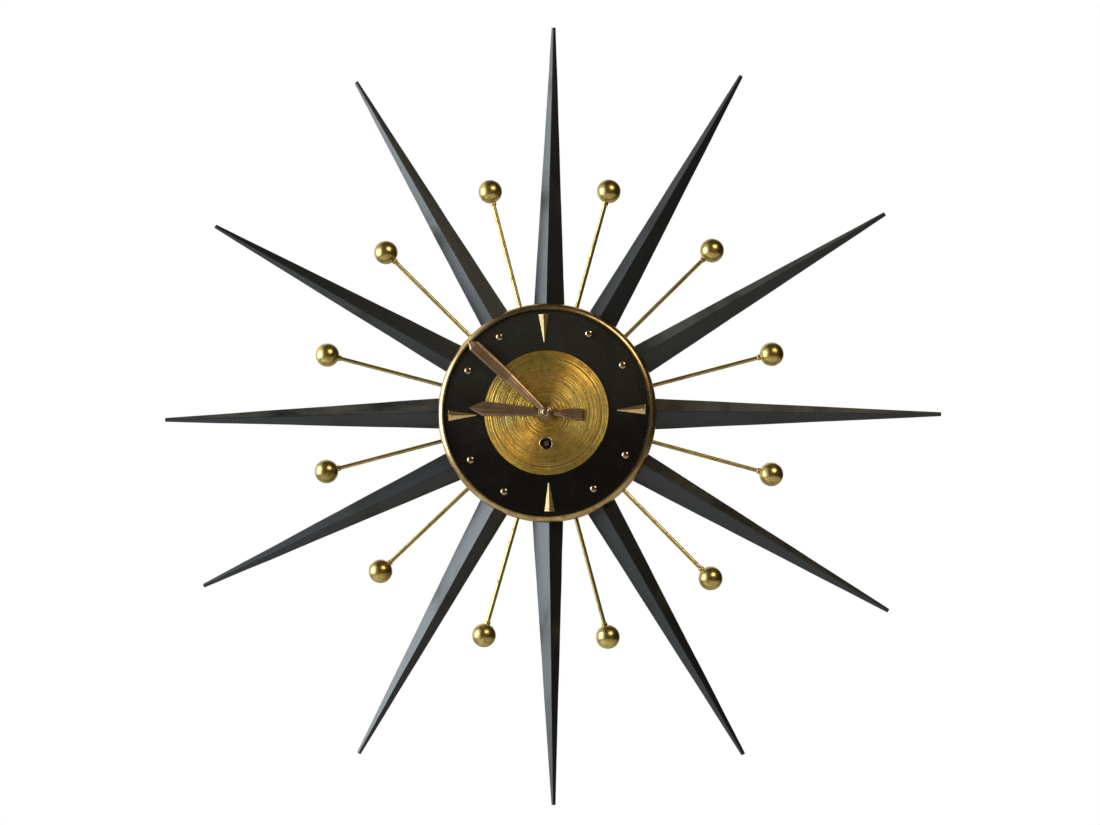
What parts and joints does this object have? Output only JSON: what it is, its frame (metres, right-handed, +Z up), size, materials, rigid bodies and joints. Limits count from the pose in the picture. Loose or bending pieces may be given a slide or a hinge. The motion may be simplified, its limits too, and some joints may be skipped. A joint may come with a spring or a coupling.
{
  "type": "sunburst wall clock",
  "caption": "Wall clock with a round black and brass dial, tapered black spikes and brass ball rods around it, and a spring-wound movement in a case behind.",
  "frame": {"origin": "on the axis of the hands, at the flat rear face of the back cover where it meets the wall", "axes": "+X to the right as the clock is read, +Y into the wall, +Z up; the dial faces -Y"},
  "size_m": [0.622, 0.0541, 0.622],
  "materials": {
    "lacquered_wood": "satin black lacquer",
    "brass": "aged, lightly tarnished",
    "copper_bronze": "aged copper brown",
    "black_enamel": "gloss black enamel",
    "cover_paint": "dark semi-gloss",
    "cast_alloy": "as cast and turned",
    "steel": "plain"
  },
  "bodies": {
    "root": {"spike_01": "lacquered_wood", "spike_02": "lacquered_wood", "spike_03": "lacquered_wood", "spike_04": "lacquered_wood", "spike_05": "lacquered_wood", "spike_06": "lacquered_wood", "spike_07": "lacquered_wood", "spike_08": "lacquered_wood", "spike_09": "lacquered_wood", "spike_10": "lacquered_wood", "spike_11": "lacquered_wood", "spike_12": "lacquered_wood", "ball_rod_00": "brass", "ball_rod_01": "brass", "ball_rod_02": "brass", "ball_rod_03": "brass", "ball_rod_04": "brass", "ball_rod_05": "brass", "ball_rod_06": "brass", "ball_rod_07": "brass", "ball_rod_08": "brass", "ball_rod_09": "brass", "ball_rod_10": "brass", "ball_rod_11": "brass", "hour_marker_03": "brass", "hour_marker_06": "brass", "hour_marker_09": "brass", "hour_marker_12": "brass", "cover_screw_1": "steel", "cover_screw_2": "steel", "cover_screw_3": "steel", "hub": "cast_alloy", "back_cover": "cover_paint", "dial_pan": "black_enamel", "bezel": "brass", "centre_disc": "brass", "winding_grommet": "brass", "front_plate": "brass", "back_plate": "brass", "hairspring": "steel"},
    "minute_works": {"centre_wheel": "brass", "cannon_pinion": "steel", "minute_hand": "copper_bronze", "hand_nut": "brass"},
    "hour_works": {"hour_wheel": "brass", "hour_hand": "copper_bronze"},
    "motion_wheel": {"minute_wheel": "brass"},
    "great_wheel": {"barrel": "brass", "barrel_cap": "brass", "mainspring": "steel"},
    "intermediate": {"intermediate_wheel": "brass"},
    "third": {"third_wheel": "brass"},
    "fourth": {"fourth_wheel": "brass"},
    "escape": {"escape_wheel": "steel"},
    "winder": {"winding_arbor": "steel", "ratchet_wheel": "steel"},
    "click": {"click": "steel"},
    "lever": {"pallet_lever": "steel"},
    "balance": {"balance_wheel": "brass"}
  },
  "joints": [
    {"name": "minute_hand_turn", "type": "hinge", "parent": "root", "child": "minute_works", "pos_m": [0, -0.022, 0], "axis": [0, 1, 0], "continuous": true},
    {"name": "hour_hand_turn", "type": "hinge", "parent": "root", "child": "hour_works", "pos_m": [0, -0.022, 0], "axis": [0, 1, 0], "continuous": true},
    {"name": "motion_wheel_turn", "type": "hinge", "parent": "root", "child": "motion_wheel", "pos_m": [-0.01128, -0.022, -0.0041], "axis": [0, 1, 0], "continuous": true},
    {"name": "barrel_turn", "type": "hinge", "parent": "root", "child": "great_wheel", "pos_m": [0, -0.022, -0.0246], "axis": [0, 1, 0], "continuous": true},
    {"name": "intermediate_turn", "type": "hinge", "parent": "root", "child": "intermediate", "pos_m": [0.01404, -0.022, -0.00714], "axis": [0, 1, 0], "continuous": true},
    {"name": "third_wheel_turn", "type": "hinge", "parent": "root", "child": "third", "pos_m": [-0.01082, -0.022, 0.01082], "axis": [0, 1, 0], "continuous": true},
    {"name": "fourth_wheel_turn", "type": "hinge", "parent": "root", "child": "fourth", "pos_m": [-0.00117, -0.022, 0.01892], "axis": [0, 1, 0], "continuous": true},
    {"name": "escape_wheel_turn", "type": "hinge", "parent": "root", "child": "escape", "pos_m": [0.01017, -0.022, 0.01892], "axis": [0, 1, 0], "continuous": true},
    {"name": "winding_turn", "type": "hinge", "parent": "root", "child": "winder", "pos_m": [0, -0.022, -0.0246], "axis": [0, 1, 0], "continuous": true},
    {"name": "click_swing", "type": "hinge", "parent": "root", "child": "click", "pos_m": [0.01034, -0.022, -0.02084], "axis": [0, 1, 0], "range_deg": [0, 12], "stiffness_Nm_per_rad": 0.002, "springref_deg": -5.73},
    {"name": "lever_rock", "type": "hinge", "parent": "root", "child": "lever", "pos_m": [0.01769, -0.022, 0.01618], "axis": [0, 1, 0], "range_deg": [-4, 4]},
    {"name": "balance_swing", "type": "hinge", "parent": "root", "child": "balance", "pos_m": [0.02783, -0.022, 0.0189], "axis": [0, 1, 0], "range_deg": [-135, 135], "stiffness_Nm_per_rad": 0.000005}
  ],
  "couplings": [
    {"joint": "hour_hand_turn", "follows": "minute_hand_turn", "ratio": 0.083333},
    {"joint": "motion_wheel_turn", "follows": "minute_hand_turn", "ratio": -0.33333},
    {"joint": "intermediate_turn", "follows": "minute_hand_turn", "ratio": -0.16667},
    {"joint": "barrel_turn", "follows": "minute_hand_turn", "ratio": 0.027778},
    {"joint": "third_wheel_turn", "follows": "minute_hand_turn", "ratio": -7.5},
    {"joint": "fourth_wheel_turn", "follows": "minute_hand_turn", "ratio": 45},
    {"joint": "escape_wheel_turn", "follows": "minute_hand_turn", "ratio": -360}
  ]
}
